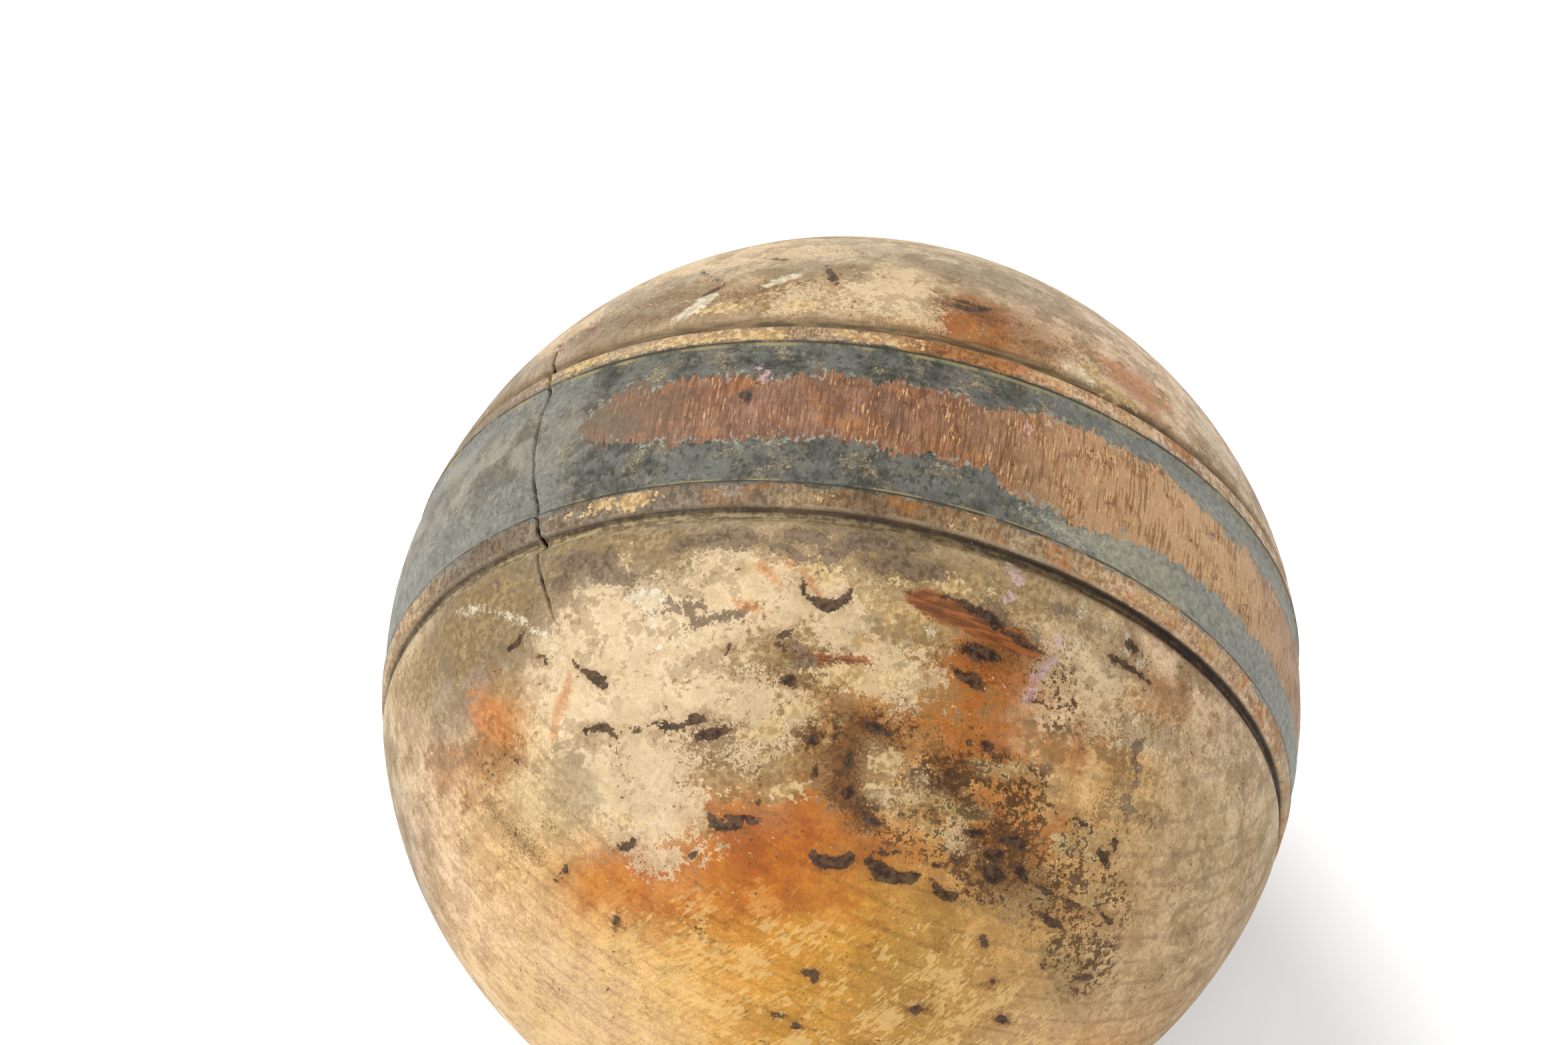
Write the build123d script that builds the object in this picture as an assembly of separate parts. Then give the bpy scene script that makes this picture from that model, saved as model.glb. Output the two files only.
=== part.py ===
from build123d import *

import os
from math import cos, radians, sin, sqrt

# A turned wooden croquet ball with a painted band, dried out, cracked, dented and worn.
#
# Millimetres. +Z is up, the lathe axis and the grain run along Y, and the origin is the ball's centre.
# The ball is one block of wood. The paint is a thin coat in the band, worn through along its crown.
# A longitude is an angle about Y, from 0 at the top of the ball towards +X.

# The ball was turned round, and then dried narrower across the grain than along it.
LENGTH = 92.0
GIRTH = 90.6

# The turned band, as distances from the ball's middle along Y. Both sides are the same.
CROWN_END = 4.6
COVE_FLOOR = 6.7
BAND_EDGE = 8.1
LIP = 10.3
GROOVE_FLOOR = 11.0
GROOVE_END = 12.0

# How far those places lie below the ball's outline.
CROWN_DEPTH = 0.15
CROWN_END_DEPTH = 0.25
COVE_DEPTH = 0.5
BAND_EDGE_DEPTH = 0.05
GROOVE_DEPTH = 0.8

# The paint is worn through in a row of oval patches that run into one another.
PAINT = 0.12
PATCH_LONGITUDES = (-4, 38, 78, 118, 202, 240)
PATCH_ARC = 52.0
PATCH_WIDTH = 8.6

# The drying crack follows the grain. Each length of it is a list of (longitude, distance along Y).
CRACK = ((-43, 17), (-41.5, 11), (-40.3, 4), (-39.5, -3), (-37.8, -8), (-36.2, -11.6))
CRACK_TAIL = ((-37.8, -11.4), (-37, -14.5), (-35.8, -17), (-34.3, -19.5))
CRACK_WIDTH = 0.4
CRACK_TAIL_WIDTH = 0.25
CRACK_DEPTH = 7.0

# Dents from play, as (longitude, distance along Y, width, depth).
DENTS = (
    (-1, -30.5, 6.5, 0.35),
    (12, -31.5, 7.0, 0.4),
    (25, -34, 6.0, 0.35),
    (-72, -33, 5.0, 0.3),
    (130, -24, 8.0, 0.45),
    (172, -36, 6.5, 0.35),
    (235, -22, 7.5, 0.4),
    (60, 27, 7.0, 0.35),
    (150, 33, 6.5, 0.4),
    (215, 24, 8.0, 0.45),
    (290, 35, 6.0, 0.35),
)

CLEARANCE = 3.0  # how far a cutter stands out of what it cuts


def outline_radius(y):
    """The ball's radius at the distance y along its axis, before any turning."""
    return GIRTH / 2 * sqrt(1 - (2 * y / LENGTH) ** 2)


def below_outline(y, depth):
    """A point in the turning section, depth millimetres below the ball's outline."""
    return (outline_radius(y) - depth, y)


def band_outline(lift=0.0):
    """The floor of the band from its -Y edge to its +Y edge: wall, cove, crown, cove, wall."""
    edge, floor, foot = (
        [below_outline(side * y, depth - rise) for side in (-1, 1)]
        for y, depth, rise in (
            (BAND_EDGE, BAND_EDGE_DEPTH, 0),
            (COVE_FLOOR, COVE_DEPTH, lift),
            (CROWN_END, CROWN_END_DEPTH, lift),
        )
    )
    crown = (GIRTH / 2 - CROWN_DEPTH + lift, 0)
    return [
        Line(edge[0], floor[0]),
        Line(floor[0], foot[0]),
        ThreePointArc(foot[0], crown, foot[1]),
        Line(foot[1], floor[1]),
        Line(floor[1], edge[1]),
    ]


def band_recess():
    """The ring turned away between the two fillets."""
    ends = [below_outline(side * BAND_EDGE, BAND_EDGE_DEPTH) for side in (-1, 1)]
    outside = GIRTH / 2 + CLEARANCE
    rim = Polyline(ends[1], (outside, BAND_EDGE), (outside, -BAND_EDGE), ends[0])
    return revolve(make_face([*band_outline(), *rim.edges()]), Axis.Y)


def groove(side):
    """The ring a pointed tool cuts next to a fillet: steep under the lip, gentler on the cap."""
    section = Polyline(
        below_outline(side * LIP, 0),
        below_outline(side * GROOVE_FLOOR, GROOVE_DEPTH),
        below_outline(side * GROOVE_END, 0),
        (GIRTH / 2 + CLEARANCE, side * GROOVE_END),
        (GIRTH / 2 + CLEARANCE, side * LIP),
        close=True,
    )
    return revolve(make_face(section), Axis.Y)


def facing(longitude):
    """A plane through the ball's centre that faces outwards at a longitude, with Y up in it."""
    angle = radians(longitude)
    outwards, along = (sin(angle), 0, cos(angle)), (cos(angle), 0, -sin(angle))
    return Plane(origin=(0, 0, 0), x_dir=along, z_dir=outwards)


def crack(points, width):
    """A slit from the surface towards the pith, widest half way along and closed at both ends."""
    middle = points[len(points) // 2][0]
    line = [(GIRTH / 2 * sin(radians(longitude - middle)), y) for longitude, y in points]
    inner = line[1:-1]
    one_side = [(x + width / 2, y) for x, y in inner]
    other_side = [(x - width / 2, y) for x, y in reversed(inner)]
    face = make_face(Polyline(line[0], *one_side, line[-1], *other_side, close=True))
    cutter = extrude(face, CRACK_DEPTH + CLEARANCE + 1.5)
    return facing(middle) * Pos(0, 0, GIRTH / 2 - CRACK_DEPTH - 1.5) * cutter


def dent(longitude, y, width, depth):
    """A ball-shaped cutter that leaves a shallow round dent."""
    radius = (width**2 / 4 + depth**2) / (2 * depth)
    angle = radians(longitude)
    slope = (2 / LENGTH) ** 2 * y
    spread = (2 / GIRTH) ** 2 * outline_radius(y)
    steepness = sqrt(slope**2 + spread**2)
    reach = radius - depth
    out = outline_radius(y) + reach * spread / steepness
    return Pos(out * sin(angle), y + reach * slope / steepness, out * cos(angle)) * Sphere(radius)


def worn_patch(longitude):
    """A cutter for one oval patch where the paint has gone, through the coat and not the wood."""
    half_arc = GIRTH / 2 * sin(radians(PATCH_ARC / 2))
    oval = extrude(Ellipse(half_arc, PATCH_WIDTH / 2), GIRTH / 2 + CLEARANCE)
    return facing(longitude) * oval


def wooden_ball():
    """The whole ball in wood, with everything turned, cracked and knocked out of it."""
    outline = EllipticalCenterArc((0, 0), GIRTH / 2, LENGTH / 2, start_angle=-90, arc_size=180)
    axis = Line((0, -LENGTH / 2), (0, LENGTH / 2))
    ball = revolve(make_face([*outline.edges(), axis]), Axis.Y)
    cutters = [band_recess(), groove(1), groove(-1)]
    cutters += [crack(CRACK, CRACK_WIDTH), crack(CRACK_TAIL, CRACK_TAIL_WIDTH)]
    cutters += [dent(*values) for values in DENTS]
    for cutter in cutters:
        ball -= cutter
    return ball


def painted_band():
    """The coat of paint that is left: a stripe in each cove, joined where the crown is not worn."""
    coat = revolve(make_face([*band_outline(), *band_outline(PAINT)]), Axis.Y)
    for longitude in PATCH_LONGITUDES:
        coat -= worn_patch(longitude)
    return coat - crack(CRACK, CRACK_WIDTH)


os.makedirs("parts", exist_ok=True)
for node in (wooden_ball, painted_band):
    shape = node()
    export_step(shape, f"parts/{node.__name__}.step")
    print(node.__name__, len(shape.solids()), "solid", round(shape.volume, 1), "cubic mm")
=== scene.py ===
"""A turned wooden croquet ball with a painted band, dried out, cracked, dented and worn.

Everything is in the CAD model's frame: the lathe axis and the grain run along Y, +Z is up and the origin is
the ball's centre. The shape is worked out in millimetres and turned into metres when a mesh is made. A
longitude is an angle about Y, from 0 at the top towards +X, and a latitude goes from -90 at -Y to 90 at +Y.
"""

from itertools import product

import bpy
import numpy as np
from mathutils import Matrix, Vector


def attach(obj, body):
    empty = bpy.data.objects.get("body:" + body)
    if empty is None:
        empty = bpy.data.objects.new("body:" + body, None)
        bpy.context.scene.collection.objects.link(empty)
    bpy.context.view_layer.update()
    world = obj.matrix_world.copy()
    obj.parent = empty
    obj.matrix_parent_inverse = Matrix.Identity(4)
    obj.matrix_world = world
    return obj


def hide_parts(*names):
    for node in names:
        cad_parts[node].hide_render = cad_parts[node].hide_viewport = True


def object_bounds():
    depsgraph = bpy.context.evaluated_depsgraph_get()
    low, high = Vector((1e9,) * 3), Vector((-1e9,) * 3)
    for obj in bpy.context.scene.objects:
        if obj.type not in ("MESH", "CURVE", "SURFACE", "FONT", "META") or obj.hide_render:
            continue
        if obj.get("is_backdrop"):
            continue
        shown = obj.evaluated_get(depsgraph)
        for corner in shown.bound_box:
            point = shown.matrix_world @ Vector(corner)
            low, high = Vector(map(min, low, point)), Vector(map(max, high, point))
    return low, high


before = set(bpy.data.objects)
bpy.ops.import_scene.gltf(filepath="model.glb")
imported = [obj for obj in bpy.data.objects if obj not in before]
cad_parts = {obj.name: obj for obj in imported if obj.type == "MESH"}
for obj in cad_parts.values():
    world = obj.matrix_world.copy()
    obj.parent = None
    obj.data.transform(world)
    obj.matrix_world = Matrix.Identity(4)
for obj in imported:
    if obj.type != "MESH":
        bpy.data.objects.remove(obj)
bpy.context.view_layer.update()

MM = 0.001
LENGTH = 92.0
HALF = LENGTH / 2
GIRTH = 90.6
RADIUS = 45.7  # between the two half sizes, for distances along the surface

# Colours are given as they look in this scene's light, which is strong enough to make the floor plain white.
# What a surface itself reflects is this share of that, once the white sheen lying over it is taken away.
REFLECTED = 0.83
SHEEN = 0.009


def tint(red, green, blue):
    """A colour in linear light from the 0 to 255 values of a colour picker."""
    shares = [channel / 255 for channel in (red, green, blue)]
    linear = [s / 12.92 if s <= 0.04045 else ((s + 0.055) / 1.055) ** 2.4 for s in shares]
    return [max(REFLECTED * s - SHEEN, 0.003) for s in linear] + [1.0]


# ---------------------------------------------------------------- the turned shape

# The outline's depth below the ball at distances from its middle along Y. Both sides are the same.
TURNING = (
    (0, 0.15), (4.6, 0.24), (5.6, 0.38), (6.7, 0.5), (7.5, 0.44), (8, 0.22), (8.1, 0.06), (8.6, 0.02),
    (10.15, 0.02), (10.3, 0.08), (10.45, 0.4), (10.95, 0.8), (11.2, 0.76), (11.9, 0.14), (12.5, 0),
)
BAND_EDGE = 8.1
LIP = 10.3
GROOVE = 10.95
GROOVE_END = 12.1
PAINT = 0.1

# The crack's path, as (distance along Y, longitude, half width). It jumps sideways in the -Y groove.
CRACK = (
    (-19.5, -34.4, 0), (-17, -35.6, 0.09), (-14, -36.8, 0.14), (-11.9, -37.4, 0.12), (-11.6, -36.4, 0.14),
    (-10.2, -37.2, 0.22), (-8, -37.8, 0.17), (-4, -39, 0.16), (0, -39.8, 0.14), (5, -40.4, 0.14),
    (8, -40.8, 0.16), (11, -42.2, 0.2), (14, -43.4, 0.12), (17.5, -44.6, 0),
)
CRACK_DEPTH = 3.0
CRACK_HOME = -39.0

# ---------------------------------------------------------------- marks, as (longitude, latitude, ...)

# Dents are (longitude, latitude, half width, half height, turn, depth). Sizes here are millimetres.
DENTS = (
    (-37.5, -29, 2.8, 1.6, -15, 0.14), (0, -22, 3, 2, 0, 0.3), (11.5, -41, 5, 3.6, 10, 0.4),
    (-10, -47.3, 4.6, 1.7, 0, 0.3), (6.5, -50, 3.4, 1.8, 0, 0.3), (17.5, -50, 4, 1.8, 0, 0.3),
    (27.5, -50.2, 3.2, 1.7, 0, 0.3), (34, -44.5, 5.5, 4.2, 0, 0.3), (-37, -42, 3.4, 3.2, 0, 0.25),
    (4, -29.4, 3.2, 0.9, 12, 0.3), (-72, -52, 2.2, 1.3, 0, 0.3), (45.6, -28.4, 2.2, 0.6, -60, 0.2),
    (40, -54.5, 1.3, 0.5, -40, 0.15), (-25, -37, 5.5, 1, 0, 0.12), (5, -27, 2.8, 1.7, 0, 0.15),
    (60, -25, 4, 3, 30, 0.3), (-60, -38, 3.5, 2.5, 0, 0.2), (14, 22, 4, 3, 0, 0.3),
    (-23, 25, 3, 1.2, 60, 0.25),
)
# The middle of the long gouge beside the band.
GOUGE = ((9.5, -21.4), (13, -21.8), (18, -22.4), (23, -23), (27.5, -23.3))


def on_ball(longitude, latitude):
    """The unit direction at a longitude and a latitude in degrees."""
    longitude, latitude = np.radians(longitude), np.radians(latitude)
    around = np.cos(latitude)
    return np.stack([around * np.sin(longitude), np.sin(latitude), around * np.cos(longitude)], -1)


def lumps(points, size, seed, octaves=1):
    """Smooth noise from -1 to 1 at each point, in lumps of about that size in millimetres."""
    total, weight, weights = 0.0, 1.0, 0.0
    for octave in range(octaves):
        place = points / size * 2**octave + 31.7 * seed + 11.3 * octave
        cell = np.floor(place).astype(np.int64)
        part = place - cell
        part = part * part * (3 - 2 * part)
        value = 0.0
        for corner in product((0, 1), repeat=3):
            mixed = ((cell + corner) * (73856093, 19349663, 83492791)).sum(axis=-1)
            mixed = ((mixed ^ (mixed >> 13)) * 1274126177) & 0xFFFFFF
            share = np.where(np.array(corner) == 1, part, 1 - part).prod(axis=-1)
            value = value + share * (mixed / 0xFFFFFF * 2 - 1)
        total = total + weight * value
        weights += weight
        weight *= 0.55
    return total / weights


def wander(points, reach, size, seed):
    """The points moved about by up to reach millimetres, to make the listed shapes irregular."""
    return points + reach * np.stack([lumps(points, size, seed + i, 2) for i in range(3)], -1)


def flat_from(points, longitude, latitude):
    """Millimetres east and north of a place on the ball, measured along the surface."""
    centre = on_ball(longitude, latitude)
    east = np.array([np.cos(np.radians(longitude)), 0, -np.sin(np.radians(longitude))])
    north = np.cross(centre, east)
    unit = points / np.linalg.norm(points, axis=-1, keepdims=True)
    away = np.arccos(np.clip(unit @ centre, -1, 1))
    stretch = RADIUS * away / np.maximum(np.sin(away), 1e-3)
    return unit @ east * stretch, unit @ north * stretch


def oval(points, longitude, latitude, wide, high, turn=0):
    """How far inside an oval each point is, in millimetres, negative outside it."""
    east, north = flat_from(points, longitude, latitude)
    c, s = np.cos(np.radians(turn)), np.sin(np.radians(turn))
    along, across = east * c + north * s, north * c - east * s
    return (1 - np.hypot(along / wide, across / high)) * min(wide, high)


def stroke(points, path, half_width):
    """How far inside a stroke along a path each point is. The stroke tapers towards both ends."""
    middle = path[len(path) // 2]
    east, north = flat_from(points, *middle)
    corners = np.array([np.ravel(flat_from(on_ball(*place)[None], *middle)) for place in path])
    lengths = np.hypot(*np.diff(corners, axis=0).T)
    total, done, best = lengths.sum(), 0.0, np.full(len(points), -99.0)
    for (x0, y0), (x1, y1), length in zip(corners, corners[1:], lengths):
        share = np.clip(((east - x0) * (x1 - x0) + (north - y0) * (y1 - y0)) / length**2, 0, 1)
        away = np.hypot(east - x0 - share * (x1 - x0), north - y0 - share * (y1 - y0))
        place = (done + share * length) / total
        best = np.maximum(best, half_width * (4 * place * (1 - place)) ** 0.4 - away)
        done += length
    return best


def smooth(value, low, high):
    """0 below low, 1 above high, and a smooth rise between."""
    share = np.clip((value - low) / (high - low), 0, 1)
    return share * share * (3 - 2 * share)


def nearest(*shapes):
    """The union of shapes given as distances inside them."""
    return np.maximum.reduce(shapes)


# The wood's overall colour changes slowly from place to place. These are its tones.
TONES = {
    "cream": (216, 192, 156),
    "straw": (206, 178, 134),
    "stone": (176, 158, 130),
    "sand": (190, 164, 124),
    "tan": (178, 148, 110),
    "dun": (154, 134, 110),
    "drab": (124, 112, 96),
    "bark": (104, 82, 62),
    "clay": (160, 112, 70),
    "rust": (156, 98, 54),
    "orange": (172, 94, 10),
    "ginger": (198, 142, 78),
    "gold": (206, 164, 108),
    "mustard": (170, 128, 64),
    "amber": (204, 146, 60),
    "honey": (214, 171, 106),
    "peach": (208, 177, 145),
    "pale": (214, 186, 154),
}

# Where each tone is, as (longitude, latitude, reach in millimetres).
GROUND = {
    "cream": ((-25, -27, 6), (-34, -33, 5), (-26, -41, 6), (-23, -48, 4), (-13, -33, 5)),
    "straw": ((4, 23, 5), (-11, -40, 5), (-38, -45, 4), (35, -24, 5), (-10, -23, 5)),
    "stone": ((-32, 31, 9), (-10, 31, 9), (16, 31, 7)),
    "sand": (
        (-72, -19, 9), (14, -18, 5), (30, -18, 5), (72, -20, 8), (60, -27, 7), (76, -34, 8),
        (2, -26, 4), (-49, -42, 5), (-3, -18, 4),
    ),
    "tan": ((-5, 20, 5), (68, -60, 7), (-20, 19, 6), (57, -33, 6), (66, -43, 7)),
    "mustard": ((24, -55, 5), (44, -56, 6), (34, -66, 6), (30, -76, 6), (54, -66, 7)),
    "gold": ((15, -41, 4), (34, -43, 5), (50, -44, 7), (48, -52, 6), (37, -35, 6)),
    "dun": (
        (-46, 19, 8), (-22, 12, 6), (-5, 12, 4), (-42, 12, 6),
        (-57, -29, 6), (24, -12, 5), (-38, -20, 5),
    ),
    "drab": ((-52, -20, 6), (-22, -17, 5), (-45, -12, 6), (-30, -12, 5), (-14, -12, 5)),
    "bark": ((6, -12, 6),),
    "clay": ((16, 19, 6), (12, 12, 6), (16, -33, 4), (5, -37, 4)),
    "rust": ((21, -28, 4), (3, -45, 4), (-10, -48, 3)),
    "orange": ((-14, -54, 6), (0, -52, 4), (-30, -55, 4)),
    "ginger": ((23, -38, 5), (24, -46, 4), (-41, -54, 4), (-47, -33, 3)),
    "amber": ((8, -59, 5), (-15, -62, 5), (5, -72, 6), (0, -88, 9)),
    "honey": ((9, -30, 4), (45, -28, 5), (-40, -66, 7), (-60, -43, 6)),
    "peach": (
        (29, 23, 7), (30, 12, 6), (45, -12, 7), (50, -19, 6),
        (-76, -44, 8), (-70, -62, 8), (-64, -37, 6), (33, -28, 5),
    ),
    "pale": ((60, 16, 8), (44, 20, 8), (64, -17, 5)),
}

# The same for the sides that face away from the camera, in a plausible mixture.
GROUND_BEHIND = {
    "cream": ((240, -48, 12),),
    "straw": ((190, 45, 13), (330, 58, 12), (140, -44, 13)),
    "sand": ((120, 40, 13), (20, 60, 12)),
    "tan": ((225, -25, 12), (85, 24, 12), (100, -30, 12), (215, 20, 12)),
    "dun": ((150, -20, 10), (265, -25, 10), (160, 20, 12), (290, 20, 12)),
    "ginger": ((110, -62, 12), (185, -30, 12), (190, -64, 13), (255, 35, 13), (250, 70, 13)),
    "honey": ((275, -58, 12), (90, 70, 13)),
}

# Stains with mottled edges, as ovals (longitude, latitude, half width, half height, turn if any).
STAINS = {
    "cream": (
        (-22, -27, 9.5, 5.5), (-8, -23, 8, 4.2), (-27, -39, 6.5, 6.5), (-13, -36, 8, 4),
        (-33, -31, 4.5, 4), (2, -25, 4, 3.5), (9, -30, 5, 3), (-23, -47, 5, 2.6), (-22, -52, 2.6, 1.4),
        (35, -22, 5, 2.6), (3, 21, 5.5, 4.5), (-9, 19, 2.5, 2), (-24, 36, 12, 5), (-45, 24, 5, 4),
        (28, 17, 2.4, 2), (13, -42, 2.2, 1.5), (28, -45, 2, 1), (45, -25, 4, 2),
    ),
    "orange": (
        (-12, -52, 9, 3.2), (-31, -54, 8, 2.8), (0, -57, 8, 2.6), (-10, -47, 4.2, 2.4),
        (4, -46, 4.2, 3.4), (12, -48, 5, 1.6), (20, -28, 5.2, 3), (3, -40, 2.2, 4.2), (23, -34, 5.5, 2.2),
        (-48, -31, 2.2, 3, 20), (32, -42, 5, 3.2), (12, 19, 4, 3), (36, 19, 5, 3), (34, -32, 3, 1.4),
    ),
    "rust": (
        (10, -37, 4.5, 2.4, -15), (22, -38, 4, 2.4), (31, -32, 4, 1.2), (15, 20, 5, 3), (27, 19, 4, 2),
        (46, -20, 6, 2), (40, -28, 4, 1.4, -20), (25, -25, 3, 1.5), (-52, -36, 5, 3), (-62, -33, 4, 2.4),
    ),
    "ochre": (
        (-6, -30, 7, 3.4), (-5, -40, 7, 4.4), (21, -43, 5, 2), (-24, -17, 10, 1.5), (17, -18, 9, 2.4),
        (-47, -20, 7, 4.2), (11, -26, 4, 1.8), (-12, -43, 5, 2), (60, -52, 5, 2), (-12, 20, 3, 3),
        (-62, -21, 6, 3),
    ),
    "smoke": (
        (-37, -42, 2.8, 2.8), (-35, -18, 5, 3.2), (-40, -23, 3.4, 3), (8, -42, 3.6, 3, 20),
        (6, -27, 2.3, 1.5), (38, -47, 5, 3.2), (0, -16, 12, 1.2), (-30, 20, 8, 3.6), (-8, 27, 5, 2),
        (15, 31, 12, 3), (-60, 10, 10, 8), (36, -18, 5, 2.4),
    ),
    "umber": (
        (34, -46, 4, 2.4), (38, -47, 2.6, 1.8), (28, -44, 2.4, 1.4, 20), (17, -36, 3.4, 1, -14),
        (24, -38, 2.6, 1.2), (22, -26, 2.6, 1.2), (27, -24, 2.4, 0.9, -20), (13, -39, 2, 0.9, -30),
        (8, -35, 1.8, 0.8), (-12, -39, 2.2, 1), (-2, -32, 2, 0.8), (43, -45, 3, 1.4), (50, -46, 2.6, 1),
        (16, 20, 3.4, 1.2, 10), (24, 18, 2.6, 0.8), (-16, 21, 3, 1), (-28, 18, 4, 1), (-40, 20, 3, 1.2),
        (-27, 24, 2.2, 1),
    ),
    "speckle": (
        (35, -44, 7.5, 5), (23, -46, 6, 2.4), (47, -44, 8, 4.2), (27, -39, 7, 3),
        (11, -36, 5.5, 1.4, -12), (2, -38, 1.6, 1.6), (31, -27, 3.2, 2.2), (58, -49, 6, 3),
        (10, -45, 3, 1.2),
    ),
}

# Marks with sharp, torn edges, as ovals of the same kind.
PATCHES = {
    "flake": (
        (-30, -11.5, 2.6, 0.7), (-24, -11.5, 1.6, 0.5), (-2, -11.5, 0.6, 0.3), (14, -12, 1.2, 0.4),
        (40, -11.5, 2, 0.5), (52, -11.5, 2.4, 0.5), (-34, 12, 3, 0.6), (-24, 11.5, 3.4, 0.6),
        (-12, 11.5, 3, 0.6), (-3, 12, 2.6, 0.6), (5, 11.5, 1.4, 0.4), (24, 12, 1.2, 0.4),
        (36, 11.5, 1.6, 0.4), (0, -20.5, 2, 0.9), (9, -20, 1.6, 0.5), (15.5, -19.5, 1.8, 0.5),
        (5.5, -31, 3, 1), (12.5, -39.5, 1.6, 0.9), (16.5, -42.5, 1.8, 0.8), (12, -42.5, 1, 0.6),
        (27, -36.5, 1.8, 0.8, 20), (22.5, -42.5, 1.6, 0.7), (28, -41.5, 1.4, 0.6), (20, -45.5, 2.4, 0.7),
        (27.5, -46, 1.4, 0.6), (40, -41, 2, 0.8), (46, -38.5, 2.4, 0.9, -20), (52, -43.5, 2.4, 0.9),
        (-2, -35.5, 2, 0.9), (-6, -38, 2.2, 0.9, 20), (-1, -44, 1.2, 0.9), (-16, -49, 1.6, 0.8),
        (-29, -47, 1.6, 0.8), (28, 17, 1.8, 1.2), (33, 15.5, 1.6, 0.6), (-18, 17.5, 2, 0.8),
        (-8, 17, 1.6, 0.8),
    ),
    "taupe": (
        (-31, -17.5, 2.4, 0.75, -8), (-28, -19, 1.6, 1, -30), (-25, -20.5, 2.2, 0.55, -6),
        (-34, -19.5, 1.2, 0.8), (-26.5, -17, 0.4, 0.9, 15), (-18, -18, 1.3, 0.45, 20),
        (-11.5, -17, 3.2, 0.75, 4), (-2, -16.5, 2.2, 0.9, -10), (6, -16, 4, 0.95, 2),
        (9, -18.5, 3.6, 0.85, 3), (0.5, -18, 1.3, 0.6), (-2.5, -19, 1.7, 0.5, -14),
        (21, -20.5, 1.6, 0.9, -35), (25, -21, 1.5, 0.25), (27, -18, 1.8, 0.4, 12),
        (-2, -29, 1.2, 0.4, -20), (-2, -30, 2, 0.35, -12), (46, -28.5, 2.1, 0.4, -62),
        (49, -33, 1.2, 0.4), (-17.5, -24.5, 1.5, 0.55), (-12.5, -26, 2, 0.35, 10),
    ),
    "black": (
        (20.5, -25.5, 2, 0.62), (19.5, -28.5, 1.9, 0.5, -16), (18, -37, 0.5, 0.4), (22, -35, 0.5, 0.35),
        (24.5, -35, 0.6, 0.3), (9, -36, 1.6, 0.45, -14), (13, -37.5, 0.9, 0.4, -20),
        (37.5, -38, 0.8, 0.4, -20), (50, -39.5, 1.2, 0.4, -22), (43, -37.5, 1, 0.3),
        (35.5, -43, 1.2, 0.5, -10), (32.5, -45.5, 1.3, 0.6, 20), (34.5, -47.5, 1.2, 0.7),
        (38.5, -46, 0.9, 0.6, -30), (28.5, -44, 1.2, 0.5, 20), (32, -43.5, 1, 0.4),
        (43.5, -46, 1.7, 0.4, 8), (50.5, -45.5, 1.5, 0.35, 10), (50, -48.5, 1.4, 0.3), (57, -44, 2, 0.3),
        (22, -48, 0.6, 0.35), (27, -47.5, 0.6, 0.4), (24.5, -49, 0.5, 0.3), (16.5, -49, 1.3, 0.28, 6),
        (6.5, -40.5, 0.5, 0.9, 10), (7.5, -43.5, 0.5, 0.7, -20), (11.5, -46, 1.2, 0.5, -20),
        (-29, -37, 0.8, 0.4, -25), (-24.5, -37.5, 0.7, 0.32, -10), (-32.5, -36.5, 0.4, 0.3),
        (-30.5, -36.5, 0.5, 0.2, -15), (-19.5, -37.5, 1.4, 0.34, -10), (-16, -37, 0.9, 0.5, 15),
        (-13, -38.5, 1.1, 0.3, 12), (-27, -34.5, 0.3, 0.3, -50), (-45, -50.5, 0.6, 0.4),
        (-48.5, -51, 1, 0.22, 5), (-31, -50, 0.7, 0.2), (-29, -49.5, 0.35, 0.2), (-18.5, -52, 0.5, 0.35),
        (-4, -29, 0.9, 0.35, -15), (-4, -27.5, 0.9, 0.35, 35), (-11, -29.5, 0.4, 0.5),
        (-10, -20.5, 0.5, 0.45), (-3, -32.5, 0.8, 0.5), (1, -38.5, 0.7, 0.5, -30), (2, -42, 0.25, 0.5),
        (-12, 1.5, 0.45, 0.75, 20), (39.5, -20, 2, 0.3), (38.5, -17.5, 0.8, 0.5), (39, -65.5, 0.6, 0.5),
        (60, -60.5, 0.6, 0.5), (48.5, -58, 0.5, 0.4), (6.5, -65.5, 0.8, 0.3), (9, -66, 0.4, 0.5),
        (-1.5, -72, 0.5, 0.3), (6.5, -73.5, 0.4, 0.4), (65, -50, 0.9, 0.3, 40), (-39.5, -58, 0.5, 0.4),
        (-35, -59, 0.25, 0.2), (55, -53, 0.4, 0.3), (13, 22, 1.6, 0.35, 20),
    ),
}

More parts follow.
